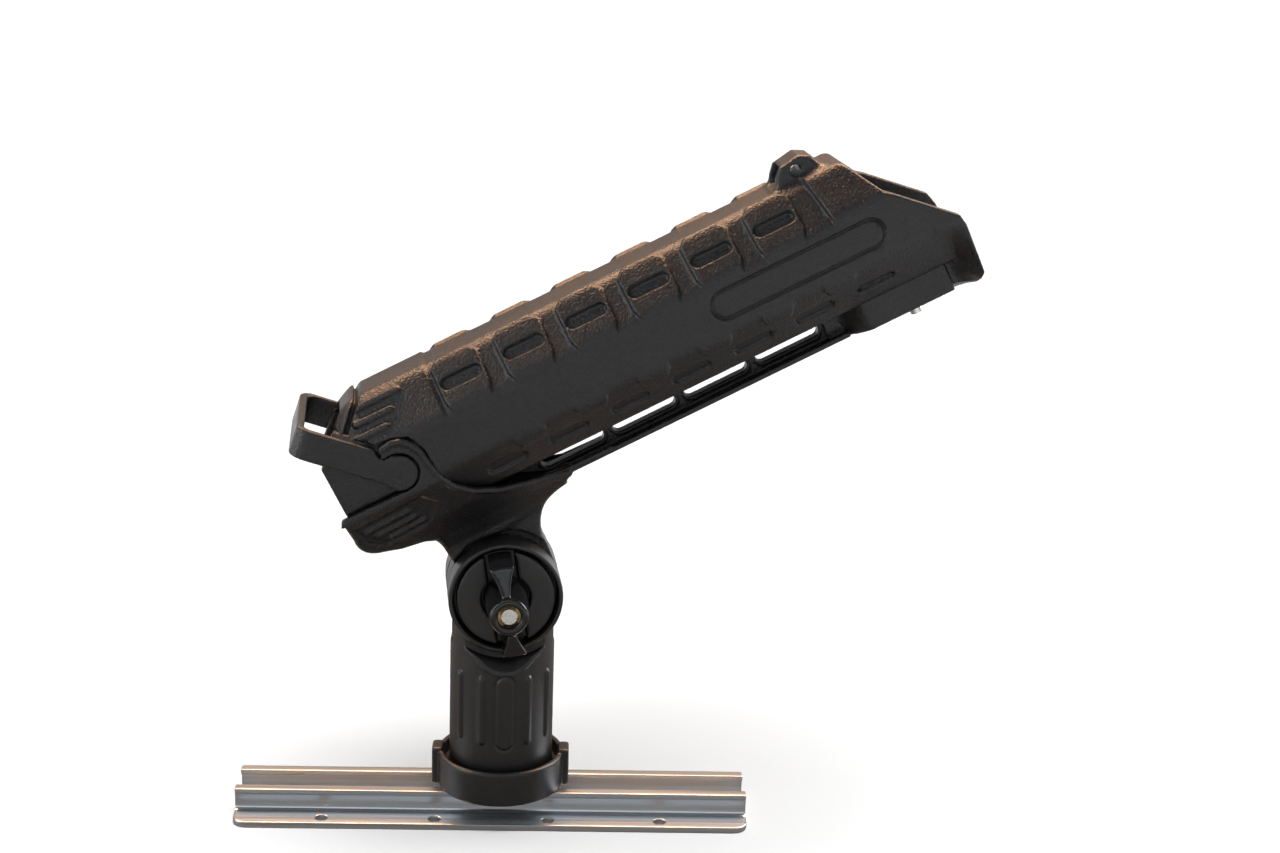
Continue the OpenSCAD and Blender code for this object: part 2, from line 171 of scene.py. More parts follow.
def make_piece(name, grid, field, place, body, nodes, slot, detail=0.015):
    """Meshes a field, puts it in the row frame, and lets it ride in place of CAD nodes."""
    field = np.broadcast_to(field, grid.shape).astype(np.float32)
    low = list(grid.low)
    if grid.half:
        field = np.concatenate([field[:, ::-1], field], axis=1)
        low[1] = -grid.step * (grid.shape[1] - 0.5)
    band = 3 * grid.step
    field = np.ascontiguousarray(np.clip(field, -band, band))
    for edge in (field[0], field[-1], field[:, 0], field[:, -1], field[:, :, 0], field[:, :, -1]):
        np.maximum(edge, grid.step, out=edge)
    volume = openvdb.FloatGrid(band)
    volume.copyFromArray(field)
    points, triangles, quads = volume.convertToPolygons(isovalue=0.0, adaptivity=detail)
    world = np.array(place)
    normals = gradient_at(field, points)
    points = points * grid.step + np.array(low)
    points = points @ world[:3, :3].T + world[:3, 3]
    mesh = bpy.data.meshes.new(name)
    faces = [tuple(reversed(f)) for f in triangles.tolist()] + [tuple(reversed(f)) for f in quads.tolist()]
    mesh.from_pydata(points.tolist(), [], faces)
    mesh.polygons.foreach_set("use_smooth", [True] * len(mesh.polygons))
    mesh.update()
    if signed_volume(mesh) < 0:
        mesh.flip_normals()
    turned = normals @ (world[:3, :3] / MM).T
    mesh.normals_split_custom_set_from_vertices(turned.tolist())
    piece = bpy.data.objects.new(name, mesh)
    bpy.context.collection.objects.link(piece)
    mesh.materials.append(MATERIALS[slot])
    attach(piece, body)
    if nodes:
        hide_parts(*nodes)
    return piece


def gradient_at(field, points):
    """Outward directions of a field at fractional grid points."""
    low = np.clip(np.floor(points).astype(int), 1, np.array(field.shape) - 3)
    part = points - low
    out = np.zeros_like(points, dtype=np.float64)
    for axis in range(3):
        for corner in range(8):
            offset = np.array([(corner >> i) & 1 for i in range(3)])
            index = low + offset
            weight = np.prod(np.where(offset == 1, part, 1 - part), axis=1)
            ahead, behind = index.copy(), index.copy()
            ahead[:, axis] += 1
            behind[:, axis] -= 1
            out[:, axis] += weight * (field[tuple(ahead.T)] - field[tuple(behind.T)])
    return out / np.maximum(np.linalg.norm(out, axis=1, keepdims=True), 1e-9)


def signed_volume(mesh):
    mesh.calc_loop_triangles()
    points = np.empty(len(mesh.vertices) * 3)
    mesh.vertices.foreach_get("co", points)
    corners = np.empty(len(mesh.loop_triangles) * 3, dtype=int)
    mesh.loop_triangles.foreach_get("vertices", corners)
    a, b, c = points.reshape(-1, 3)[corners.reshape(-1, 3)].transpose(1, 0, 2)
    return float(np.einsum("ij,ij->", a, np.cross(b, c))) / 6


# ---- Materials ----


def new_material(name, colour, metallic=0.0, roughness=0.5, specular=0.5):
    material = bpy.data.materials.new(name)
    material.use_nodes = True
    shader = material.node_tree.nodes["Principled BSDF"]
    shader.inputs["Base Color"].default_value = (*colour, 1)
    shader.inputs["Metallic"].default_value = metallic
    shader.inputs["Roughness"].default_value = roughness
    shader.inputs["Specular IOR Level"].default_value = specular
    return material, material.node_tree, shader


def noise(tree, scale, detail=2.0, stretch=(1, 1, 1)):
    """Noise in the object's own metres, stretched along its axes."""
    place = tree.nodes.new("ShaderNodeTexCoord")
    scaled = tree.nodes.new("ShaderNodeMapping")
    scaled.inputs["Scale"].default_value = stretch
    tree.links.new(place.outputs["Object"], scaled.inputs["Vector"])
    texture = tree.nodes.new("ShaderNodeTexNoise")
    texture.inputs["Scale"].default_value = scale
    texture.inputs["Detail"].default_value = detail
    tree.links.new(scaled.outputs["Vector"], texture.inputs["Vector"])
    return texture.outputs["Fac"]


def remap(tree, value, low, high, start=0.3, end=0.7):
    """Spreads the middle of a noise over a new range."""
    node = tree.nodes.new("ShaderNodeMapRange")
    node.inputs["From Min"].default_value = start
    node.inputs["From Max"].default_value = end
    node.inputs["To Min"].default_value = low
    node.inputs["To Max"].default_value = high
    tree.links.new(value, node.inputs["Value"])
    return node.outputs["Result"]


def two_tone(tree, shader, value, dark, light):
    """Base colour between two tones, by a value from 0 to 1."""
    ramp_node = tree.nodes.new("ShaderNodeValToRGB")
    ramp_node.color_ramp.elements[0].color = (*dark, 1)
    ramp_node.color_ramp.elements[1].color = (*light, 1)
    tree.links.new(value, ramp_node.inputs["Fac"])
    tree.links.new(ramp_node.outputs["Color"], shader.inputs["Base Color"])


def add_bump(tree, shader, value, height, strength=1.0):
    node = tree.nodes.new("ShaderNodeBump")
    node.inputs["Distance"].default_value = height
    node.inputs["Strength"].default_value = strength
    tree.links.new(value, node.inputs["Height"])
    tree.links.new(node.outputs["Normal"], shader.inputs["Normal"])


def moulded(name, dark, light, rough_low, rough_high, grain, height, specular=0.5):
    """Moulded plastic: a fine speckled skin over slow changes of gloss."""
    material, tree, shader = new_material(name, dark, roughness=rough_low, specular=specular)
    fine = noise(tree, grain, 3.0)
    slow = noise(tree, 60, 2.0)
    two_tone(tree, shader, remap(tree, fine, 0, 1), dark, light)
    mixed = tree.nodes.new("ShaderNodeMath")
    mixed.operation = "ADD"
    tree.links.new(remap(tree, fine, 0, rough_high - rough_low), mixed.inputs[0])
    tree.links.new(remap(tree, slow, rough_low - 0.04, rough_low + 0.04), mixed.inputs[1])
    tree.links.new(mixed.outputs["Value"], shader.inputs["Roughness"])
    add_bump(tree, shader, fine, height, 1.0)
    return material


def anodised_rail():
    material, tree, shader = new_material("anodised_rail", (0.60, 0.63, 0.66), 1.0, 0.3)
    lines = noise(tree, 500, 3.0, (0.012, 1, 1))
    two_tone(tree, shader, remap(tree, lines, 0, 1), (0.50, 0.53, 0.56), (0.70, 0.73, 0.76))
    tree.links.new(remap(tree, lines, 0.26, 0.38), shader.inputs["Roughness"])
    add_bump(tree, shader, lines, 0.00002, 0.5)
    return material


def turned_metal(name, dark, light, roughness):
    material, tree, shader = new_material(name, light, 1.0, roughness)
    marks = noise(tree, 1800, 2.0)
    two_tone(tree, shader, remap(tree, marks, 0, 1), dark, light)
    tree.links.new(remap(tree, marks, roughness - 0.06, roughness + 0.08), shader.inputs["Roughness"])
    return material


MATERIALS = {
    "anodised_rail": anodised_rail(),
    "steel": turned_metal("steel", (0.62, 0.62, 0.6), (0.8, 0.8, 0.78), 0.28),
    "brass": turned_metal("brass", (0.55, 0.37, 0.13), (0.78, 0.56, 0.24), 0.3),
    "filled_nylon": moulded("filled_nylon", (0.004, 0.004, 0.0045), (0.012, 0.012, 0.013),
                            0.30, 0.42, 1100, 0.0004, 0.5),
    "satin_nylon": moulded("satin_nylon", (0.006, 0.006, 0.0065), (0.012, 0.012, 0.013),
                           0.34, 0.44, 2200, 0.00008, 0.6),
    "gloss_knob": moulded("gloss_knob", (0.006, 0.006, 0.007), (0.009, 0.009, 0.010),
                          0.10, 0.16, 700, 0.000008),
    "washer_nylon": moulded("washer_nylon", (0.07, 0.07, 0.07), (0.11, 0.11, 0.11),
                            0.5, 0.6, 2000, 0.00002),
    "bush_nylon": moulded("bush_nylon", (0.5, 0.48, 0.42), (0.62, 0.6, 0.54),
                          0.4, 0.5, 2000, 0.00002),
}

# ---- Tube ----

TUBE_NODES = ["tube_top_shell", "tube_left_side", "tube_right_side", "tube_bottom_shell",
              "tube_front_lip", "strap_lug"]
TUBE_HALF = 26
TUBE_TOP = 95.3
TUBE_FLOOR = 43.2
WAIST_HALF = 23.4
BOSS = (-12, 66.5)
HOOK_TIP = (-13.3, 76.7)
PAD_PITCH = 25.7
FIRST_PAD = 24.2
LAST_PAD = FIRST_PAD + 5 * PAD_PITCH
SHOULDER = (19, 87.5)
SHOULDER_NORMAL = (0.772, 0.636)
CHAMFER = (21, 51.1)
CHAMFER_NORMAL = (0.845, -0.535)
TUBE_REAR = -37.4
REAR_LINE = ((TUBE_REAR, 79.8), (-21.5, 95.6))
PANEL = (153.5, 69.5)

WAIST_OUTLINE = [(-60, 30), (20, 30), (8.6, 46.5), (1.9, 51.6), (0.3, 60), (0.1, 70), (-3, 77.3),
                 (-9, 79.5), (-15.5, 80), (-24, 87), (-60, 110)]
TUBE_OUTLINE = [(TUBE_REAR, 40), (TUBE_REAR, 79.8), (-21.5, 95.6), (-9, 97.6), (159, 97.6),
                (163, 102.6), (172.6, 104.2), (176.4, 102.6), (186, 94.6), (194, 81.5),
                (196.8, 79.3), (216.3, 60.9), (217.3, 56.5), (216.6, 37), (214, 31.5), (210, 27),
                (150, 20)]
PAD = [(-7.7, -12.4), (7.6, -12.4), (9.4, -7), (9.6, 7.3), (5.9, 11.6), (-6.1, 11.6), (-9.6, 7.4),
       (-9.4, -7.2)]
LOW_PLATE = [(-6.5, 12), (6.5, 12), (6.5, 7), (4.3, 3.4), (-4.3, 3.4), (-6.5, 7)]

LOUVRES = [(-8.3, 6.6, 20), (-11.6, 0.6, 17), (-15, -5.0, 16)]  # place along x, height, length
LOUVRE_WIDTH = 3.3

FACE_STEP = 0.1
FACE_REACH = 16
FACE_LINE = np.arange(-FACE_REACH, FACE_REACH, FACE_STEP, dtype=np.float32)[None, :]


def along(point, normal, y, z):
    """How far up a slanted face each point of a section lies."""
    return -(y - point[0]) * normal[1] + (z - point[1]) * normal[0]


def above(point, normal, y, z):
    """How far off a slanted face each point of a section lies."""
    return (y - point[0]) * normal[0] + (z - point[1]) * normal[1]


def spread(pattern, height):
    """Lays a pattern, drawn over x and FACE_LINE, on a face whose height is known over a section."""
    index = np.clip(((height + FACE_REACH) / FACE_STEP).astype(int), 0, pattern.shape[1] - 1)
    return pattern[:, index[0]]


def repeated(x, first, pitch, last):
    """Distance along x from the nearest of a row of places."""
    place = np.clip(np.round((x - first) / pitch), 0, round((last - first) / pitch))
    return x - first - place * pitch


def inside_slant(x, z):
    """How far each point lies inside the slanted top of the tube's rear end."""
    (x0, z0), (x1, z1) = REAR_LINE
    return ((x - x0) * (z1 - z0) - (z - z0) * (x1 - x0)) / math.hypot(x1 - x0, z1 - z0)


def shoulder_relief(x):
    """Height of the upper shoulders over their valleys: pads, pockets, louvres and the mouth's collar."""
    t = FACE_LINE
    s = repeated(x, FIRST_PAD, PAD_PITCH, LAST_PAD)
    pad = ramp(-polygon(PAD, s, t), -0.3, 0.45)
    pocket = ramp(-oblong(s, t + 0.3, 16.6, 5.6), -0.2, 0.7)
    relief = 1.5 * pad - 1.7 * pocket
    rear = ramp(-x, -13.5, -12.3)
    relief = relief * (1 - rear) + 0.9 * rear
    front = ramp(x - (171.2 - 0.13 * t), -0.3, 0.4)
    relief = relief * (1 - front) + 1.8 * front
    height = SHOULDER[1] + t * SHOULDER_NORMAL[0]
    clear = ramp(inside_slant(x, height), 5.4, 6.2)
    for place, up, length in LOUVRES:
        rib = oblong(x - place, t - up, length, LOUVRE_WIDTH)
        relief = relief + 1.4 * clear * ramp(-rib, -0.4, 0.9)
    return relief


def chamfer_relief(x):
    """Height of the lower chamfers over their plane: plates and oblong recesses."""
    t = FACE_LINE
    plate = ramp(-polygon(LOW_PLATE, repeated(x, 37.5, 25.6, 165.5), t), -0.15, 0.35)
    recess = ramp(-oblong(repeated(x, 25, 25.6, 153), t + 1.3, 16, 5.6), -0.2, 0.6)
    last = ramp(-oblong(x - 178.3, t + 1.0, 15, 3.6), -0.2, 0.5)
    return 1.0 * plate - 1.3 * recess - 1.6 * last


def panel_relief(g):
    """Height of the flat sides: the blank panel's border, and a slight dish inside it."""
    edge = oblong(g.x - PANEL[0], g.z - PANEL[1], 70, 10.7)
    return -1.0 * bump(np.abs(edge), 0.85) - 0.25 * ramp(-edge, 0, 0.8)


def waist_section(g):
    return polygon([(0, TUBE_TOP), (12, TUBE_TOP), (WAIST_HALF, 82.2), (WAIST_HALF, 60.2),
                    (13.8, TUBE_FLOOR), (0, TUBE_FLOOR)], g.y, g.z)


def tube_body(g):
    """The tube's outside over its whole length, before its ends, waist and bore are cut."""
    x = g.x[:, :, 0]
    up = along(SHOULDER, SHOULDER_NORMAL, g.y, g.z)
    low = along(CHAMFER, CHAMFER_NORMAL, g.y, g.z)
    valley = above(SHOULDER, SHOULDER_NORMAL, g.y, g.z) + 0.8
    chamfer = above(CHAMFER, CHAMFER_NORMAL, g.y, g.z) - spread(chamfer_relief(x), low)
    side = g.y - TUBE_HALF - panel_relief(g)
    body = smooth_max(valley, g.z - TUBE_TOP, 3.2)
    body = smooth_max(body - spread(shoulder_relief(x), up), g.z - TUBE_TOP - 0.9, 0.6)
    body = smooth_max(body, side, 1.4)
    body = smooth_max(body, chamfer, 1.4)
    return smooth_max(body, TUBE_FLOOR - g.z, 1.5)


def front_lip(g):
    """The lower front grows from a narrow throat into a wide squared lip."""
    thin = polygon([(0, 72), (26, 72), (26, 59), (14.4, 45.6), (13.6, 34), (8, 31), (0, 31)], g.y, g.z)
    wide = polygon([(0, 62), (25.8, 62), (25.6, 35.5), (24, 32.4), (20, 30.4), (12, 29), (0, 29)],
                   g.y, g.z)
    flare = np.clip((g.x - 206.8) / 9.4, 0, 1) ** 1.5
    return np.maximum(thin * (1 - flare) + wide * flare, 205.5 - g.x)


def strap_lug(g):
    side = polygon([(158, 93), (161.4, 99.6), (164.1, 102.7), (172.6, 104.1), (177, 101.8),
                    (181, 93)], g.x, g.z)
    hood = smooth_max(side, g.y - 8 - 0.25 * np.maximum(100 - g.z, 0), 2.2)
    scoop = np.hypot(g.x - 160.3, g.z - 99.8) - 5.2
    scoop = np.maximum(scoop, g.y - 5.4)
    return smooth_max(hood, -scoop, 0.9)


def tube_field(g):
    rear = np.minimum(g.x - TUBE_REAR, inside_slant(g.x, g.z))
    upper = ramp(g.z, 74, 80)
    body = tube_body(g) + 1.7 * upper * bump(np.abs(rear - 4.6), 1.2)
    body = smooth_max(body, (body - rear + 2.6) * 0.707, 0.3)
    waist_zone = polygon(WAIST_OUTLINE, g.x, g.z)
    body = smooth_max(body, -np.maximum(12 - g.y, waist_zone), 0.8)
    body = np.minimum(body, np.maximum(waist_section(g), waist_zone))
    body = smooth_min(body, front_lip(g), 0.6)
    body = smooth_max(body, polygon(TUBE_OUTLINE, g.x, g.z), 0.8)
    body = smooth_min(body, strap_lug(g), 3.0)
    bore = polygon([(0, 91.5), (8.9, 91.5), (19.5, 78.6), (19.5, 61.4), (11.4, 47.7), (0, 47.7)],
                   g.y, g.z) - 1.5
    body = smooth_max(body, -bore, 0.9)
    pocket = np.maximum(np.maximum(212 - g.x, g.y - 12), np.abs(g.z - 37.5) - 4.5)
    body = smooth_max(body, -pocket, 0.8)
    eye = np.hypot(g.x - 169.5, g.z - 99.3) - 2.2
    pin = np.maximum(np.hypot(g.x - BOSS[0], g.z - BOSS[1]) - 2, 15 - g.y)
    return np.maximum(smooth_max(body, -eye, 0.4), -pin)


# ---- Cradle ----

RAIL_LOW, RAIL_HIGH, RAIL_HALF = 30.6, 33.9, 9
SLOT_HEIGHT = 38.7
FIRST_SLOT, SLOT_PITCH = 48.4, 30.5
LAST_SLOT = FIRST_SLOT + 3 * SLOT_PITCH
BLOCK_LOW = 28.5
FRONT_SCREW = 191
REAR_SCREWS = (-25, 6)
EYE_RADIUS = 22
TONGUE_HALF = 5
NECK_HALF = 6.8
NECK_RELIEF = 24.8

NECK = (arc((40.5, 10.4), 17.6, 90, 186, 12) + [(22, -2), (0, 0), (-11, 18)]
        + arc((-15.8, 27.6), 5, 0, 76, 6) + [(-12, 40), (20, 41), (30, 36)])
KEEL = ([(-12, 20), (-13.6, 31.6), (-18, 33.1), (-26.6, 35)] + arc((-30.8, 46.8), 9.2, 256, 165, 8)
        + [(-39.6, 59.3), (0, 59.3), (1.9, 51.6), (8.6, 46.5), (18, 40.5), (30, 36), (44, 33.5),
           (44, RAIL_LOW), (24, 26)])
KEEL_SECTION = [(0, 59.3), (26.2, 59.3), (26.2, 56.5), (18.4, 42), (10, 32), (6.8, 26),
                (6.8, 20), (0, 20)]
BEAD_RADIUS = 1.35
BEAD = [(-13.2, 25.4, 77.2), (-10.2, 25.6, 78.0), (-6.6, 25.7, 77.2), (-3.6, 25.7, 74.2),
        (-1.7, 25.7, 70), (-0.9, 25.6, 64.5), (0.2, 25.2, 58.4), (2.8, 23.6, 52.4),
        (8.2, 20.9, 46.6), (17, 17.0, 41), (29, 12.0, 36.6), (43, 8.6, 33.6), (62, 8.0, 33.2)]
HOOK = ([(-39.6, 59.3), (-41, 56.6), (1, 56.6), (0, 60)] + arc((-9.5, 69.5), 9.2, 0, 100, 10)
        + [(-13.9, 78.2), HOOK_TIP])


def hook_field(g):
    outline = np.minimum(polygon(HOOK, g.x, g.z),
                         np.hypot(g.x - HOOK_TIP[0], g.z - HOOK_TIP[1]) - 2.1)
    boss = np.hypot(g.x - BOSS[0], g.z - BOSS[1]) - 7.4
    swept = polygon([(-60, 59.35), (BOSS[0], 59.3), (BOSS[0], 72), (-60, 100)], g.x, g.z)
    outline = smooth_max(smooth_max(outline, -boss, 0.4), -swept, 0.6)
    return smooth_max(outline, np.abs(g.y - 24.6) - 1.8, 0.9)


def keel_field(g):
    outline = polygon(KEEL, g.x, g.z)
    rim = 0.7 * bump(np.abs(outline + 1.2), 1.5) * ramp(-g.x, 4, 10) * ramp(56 - g.z, -2, 2)
    panel = polygon([(-37.5, 53.6), (-9, 54.6), (-5, 49), (-12, 41.5), (-30, 40.5), (-36, 46)],
                    g.x, g.z)
    relief = rim - 1.3 * ramp(-panel, -0.3, 0.8)
    for low, high in (((-34.5, 50), (-16.5, 50.4)), ((-31.5, 46.2), (-15, 46.8)),
                      ((-27, 42.9), (-12.5, 43.6))):
        relief = relief + 1.2 * bump(path([low, high], g.x, g.z), 1.7)
    section = polygon(KEEL_SECTION, g.y, g.z) - relief
    return smooth_max(section, outline, 1.4)


def neck_field(g):
    radius = np.hypot(g.x, g.z)
    swell = 5 * ramp(g.z, 24, 44)
    neck = smooth_max(polygon(NECK, g.x, g.z), g.y - NECK_HALF - swell, 2.6)
    neck = smooth_max(neck, -np.maximum(radius - NECK_RELIEF, TONGUE_HALF - g.y), 0.5)
    inner = smooth_max(polygon(NECK, g.x, g.z), g.y - TONGUE_HALF, 0.8)
    eye = smooth_max(radius - EYE_RADIUS, g.y - TONGUE_HALF, 0.8)
    return np.minimum(neck, np.minimum(inner, eye))


def web_slots(g):
    place = repeated(g.x, FIRST_SLOT, SLOT_PITCH, LAST_SLOT)
    return oblong(place, g.z - SLOT_HEIGHT, 26.4, 5.2)


def web_field(g):
    slots = web_slots(g)
    half = 2.6 + 0.7 * bump(np.abs(slots - 0.7), 1.1)
    plate = np.maximum(np.maximum(8 - g.x, g.x - 163), np.maximum(31 - g.z, g.z - TUBE_FLOOR))
    return smooth_max(np.maximum(plate, g.y - half), -slots, 0.8)


def lower_rail_field(g):
    section = polygon([(0, RAIL_LOW), (5, RAIL_LOW + 0.2), (RAIL_HALF, 31.8), (RAIL_HALF, 33.3),
                       (8.2, RAIL_HIGH), (6.4, RAIL_HIGH), (5.2, 32.8), (0, 32.8)], g.y, g.z)
    return smooth_max(section, np.maximum(24 - g.x, g.x - 163), 0.6) - 0.05


def front_block_field(g):
    """The block under the mouth, with a keeled underside and a hollow sweep up to its sides."""
    section = polygon([(-4, 44), (16, 44), (16, 32.4), (8, 31.2), (-4, 31.2)], g.y, g.z)
    ends = np.maximum(155 - g.x, g.x - 205.5)
    taper = g.y - 4 - 12 * ramp(g.x, 160.5, 171.8)
    block = smooth_max(smooth_max(section, ends, 0.4), taper, 1.2)
    boss = np.maximum(np.hypot(g.x - FRONT_SCREW, g.y) - 3.2, np.abs(g.z - 34) + BLOCK_LOW - 34)
    return smooth_min(block, boss, 0.6)


def bead_distance(x, y, z):
    """Distance to the bead's centre line in space."""
    nearest = None
    for start, end in zip(BEAD, BEAD[1:]):
        edge = [e - s for s, e in zip(start, end)]
        length = sum(e * e for e in edge)
        t = ((x - start[0]) * edge[0] + (y - start[1]) * edge[1] + (z - start[2]) * edge[2]) / length
        t = np.clip(t, 0, 1)
        d = ((x - start[0] - edge[0] * t) ** 2 + (y - start[1] - edge[1] * t) ** 2
             + (z - start[2] - edge[2] * t) ** 2)
        nearest = d if nearest is None else np.minimum(nearest, d)
    return np.sqrt(nearest)


def add_bead(g, body):
    """Adds the round moulded bead that runs from the cheek's hook down to the lower rail."""
    first, last = (int((x - g.low[0]) / g.step) for x in (-17, 66))
    low = int((29 - g.low[2]) / g.step)
    piece = bead_distance(g.x[first:last], g.y, g.z[:, :, low:]) - BEAD_RADIUS
    part = body[first:last, :, low:]
    part[...] = smooth_min(part, piece, 0.5)


def cradle_field(g):
    body = smooth_min(keel_field(g), neck_field(g), 4.0)
    body = smooth_min(body, lower_rail_field(g), 1.2)
    body = smooth_min(body, web_field(g), 0.8)
    body = smooth_min(body, front_block_field(g), 0.8)
    body = np.minimum(body, hook_field(g))
    add_bead(g, body)
    body = np.maximum(body, -(waist_section(g) - 0.05))
    radius = np.hypot(g.x, g.z)
    body = np.maximum(body, 5 - radius)
    seat = np.maximum(radius - 12, TONGUE_HALF - 1.5 - g.y)
    body = np.maximum(body, -seat)
    for x, y in ((FRONT_SCREW, 0), REAR_SCREWS):
        body = np.maximum(body, 1.65 - np.hypot(g.x - x, g.y - y))
    head = np.hypot(g.x - REAR_SCREWS[0], g.y - REAR_SCREWS[1]) - 2.9
    head = np.maximum(head, g.z - 36.5)
    return np.maximum(body, -head)


def build_holder():
    g = Grid((-40, 0, 24), (219, 28, 106.5), 0.4, half=True)
    make_piece("moulded_tube", g, tube_field(g), TUBE_FRAME, "holder", TUBE_NODES,
               "filled_nylon")
    g = Grid((-43, 0, -24), (207, 29, 81), 0.45, half=True)
    make_piece("moulded_cradle", g, cradle_field(g), TUBE_FRAME, "holder", ["cradle"],
               "filled_nylon")


# ---- Bail ----


def bail_field(g):
    reach, outer, thick = 41, 26.8, 3
    across = np.abs(g.y)
    outside = smooth_max(g.x - reach, across - outer, 7)
    inside = smooth_max(g.x - reach + thick, across - outer + thick, 4)
    band = smooth_max(outside, -inside, 0.5)
    band = smooth_max(band, np.abs(g.z) - 5.75, 0.9)
    band = np.maximum(band, -g.x)
    radius = np.hypot(g.x, g.z)
    wall = np.abs(across - outer + thick / 2) - thick / 2
    boss = smooth_max(radius - 6.9, wall, 0.9)
    bail = smooth_min(band, boss, 0.8)
    scallop = np.hypot(g.x - 8.1, g.z + 6.4) - 3.1
    pin = np.maximum(radius - 2.06, across - 26.1)
    return np.maximum(smooth_max(bail, -scallop, 0.7), -pin)


def build_bail():
    g = Grid((-8.5, -28, -8.5), (42.5, 28, 8.5), 0.4)
    make_piece("swinging_bail", g, bail_field(g), BAIL_FRAME, "bail", ["bail"], "filled_nylon")


# ---- Post, collar and knob ----

POST_LOW = -78.8
POST_RADIUS = 20.5


def post_field(g):
    radius = np.hypot(g.x, g.y)
    swing = np.hypot(g.x, g.z)
    depth = np.abs(g.y)
    column = smooth_max(radius - POST_RADIUS, np.maximum(g.z, POST_LOW - g.z), 0.6)
    flange = np.maximum(radius - 21.7, np.maximum(POST_LOW - g.z, g.z - POST_LOW - 2.2))
    column = np.minimum(column, flange)
    turn = np.arctan2(g.x, depth)
    for angle in (26, 55):
        for side in (-1, 1):
            rib = math.radians(angle) * side
            low = np.hypot(POST_RADIUS * np.sin(turn - rib), radius - 20.0)
            high = np.maximum(np.maximum(-32.6 - g.z - 25.7, g.z + 32.6), 0)
            column = smooth_min(column, np.hypot(low, high) - 1.6, 0.4)
    badge = oblong(g.z + 46.3, POST_RADIUS * turn, 31, 7.2) + 20 * (g.y > 0)
    column = column + 0.45 * bump(np.abs(badge), 0.8) - 0.2 * ramp(-badge, 0, 1)
    scoop = np.maximum(swing - 25.5 - 1.1 * np.clip(depth - 17, 0, 4), 13.5 - depth)
    column = smooth_max(column, -scoop, 0.4)
    column = column - 0.35 * bump(np.abs(scoop - 0.9), 0.9) * (depth > 13.5)
    drum = smooth_max(swing - 22.15, depth - 16.8, 1.0)
    post = smooth_min(column, drum, 1.2)
    post = np.maximum(post, -np.maximum(radius - 17, g.z + 32.7))
    fork = smooth_max(depth - 5.2, -22.7 - g.z, 2.0)
    post = smooth_max(post, -fork, 0.6)
    pocket = np.maximum(swing - 20.25, g.y + 10)
    post = smooth_max(post, -pocket, 0.8)
    hexagon = np.maximum(np.abs(g.z), np.abs(g.z) * 0.5 + np.abs(g.x) * 0.866) - 5.1
    post = np.maximum(post, -np.maximum(hexagon, 11 - g.y))
    return np.maximum(post, 3.1 - swing)


def collar_field(g):
    radius = np.hypot(g.x, g.y)
    ring = smooth_max(radius - 25, np.maximum(11.5 - g.z, g.z - 25.6), 1.2)
    ear = smooth_max(np.abs(np.abs(g.x) - 25.1) - 2.2, np.abs(g.y) - 4.5, 1.0)
    ear = smooth_max(ear, np.maximum(11.5 - g.z, g.z - 26.9), 1.2)
    collar = smooth_min(ring, ear, 0.5)
    collar = smooth_max(collar, -np.maximum(radius - 22.2, g.z - 18.95), 0.3)
    collar = smooth_max(collar, -np.maximum(radius - 22.7, 20.25 - g.z), 1.0)
    collar = np.maximum(collar, 20.85 - radius)
    groove = np.maximum(radius - 23.5, np.abs(g.z - 13.2) - 1.1)
    return np.maximum(collar, -groove)


def wing_field(g):
    reach = np.abs(g.z)
    half = 1.4 + 3.7 * np.clip((reach - 6) / 12.6, 0, 1) ** 1.5
    wing = smooth_max(np.abs(g.x) - half, np.hypot(g.x, g.z) - 18.6, 1.0)
    front = -(36.2 - np.clip(reach - 7, 0, 12) * 0.45) - g.y
    wing = smooth_max(wing, np.maximum(front, g.y + 13.4), 1.4)
    radius = np.hypot(g.x, g.z)
    hub = smooth_max(radius - 7.3 - 0.07 * (37 + g.y), np.maximum(-37 - g.y, g.y + 13.4), 1.6)
    knob = smooth_min(wing, hub, 1.2)
    return smooth_max(knob, 4.3 - radius, 1.4)


def disc_field(g):
    radius = np.hypot(g.x, g.z)
    disc = smooth_max(radius - 19, np.maximum(-16.4 - g.y, g.y + 11.5), 1.2)
    slot = np.maximum(np.abs(g.x) - 5.9, g.y + 13.4)
    seat = np.maximum(radius - 9.5, g.y + 13.4)
    disc = smooth_max(disc, -np.minimum(slot, seat), 0.8)
    return np.maximum(disc, 3.3 - radius)


def build_post():
    g = Grid((-23.5, -22.5, -80), (23.5, 22.5, 23.5), 0.4)
    make_piece("moulded_post", g, post_field(g), PIVOT_FRAME, "post", ["swivel_post"],
               "satin_nylon")
    g = Grid((-28.5, -26, 10.5), (28.5, 26, 28), 0.4)
    make_piece("moulded_collar", g, collar_field(g), BASE_FRAME, "collar", ["locking_collar"],
               "satin_nylon")
    g = Grid((-10, -38, -20), (10, -12.5, 20), 0.25)
    make_piece("moulded_wing_knob", g, wing_field(g), KNOB_FRAME, "knob", ["wing_knob"],
               "gloss_knob")
    g = Grid((-20, -17.5, -20), (20, -10.5, 20), 0.3)
    make_piece("moulded_disc", g, disc_field(g), KNOB_FRAME, "knob", ["knob_disc"],
               "satin_nylon")


# ---- Rail ----

TRACK_HALF = 22.225
TRACK_REACH = 101.6
RAIL_SECTION = [(0, 0), (TRACK_HALF, 0), (TRACK_HALF, 2.5), (11.9, 2.5), (10.9, 2.9), (10.3, 3.7),
                (10.0, 6.0), (10.2, 9.0), (10.5, 9.3), (11, 9.4), (11, 11.2), (6.6, 11.2),
                (6.6, 9.0), (8.6, 9.0), (8.6, 2.2), (0, 2.2)]


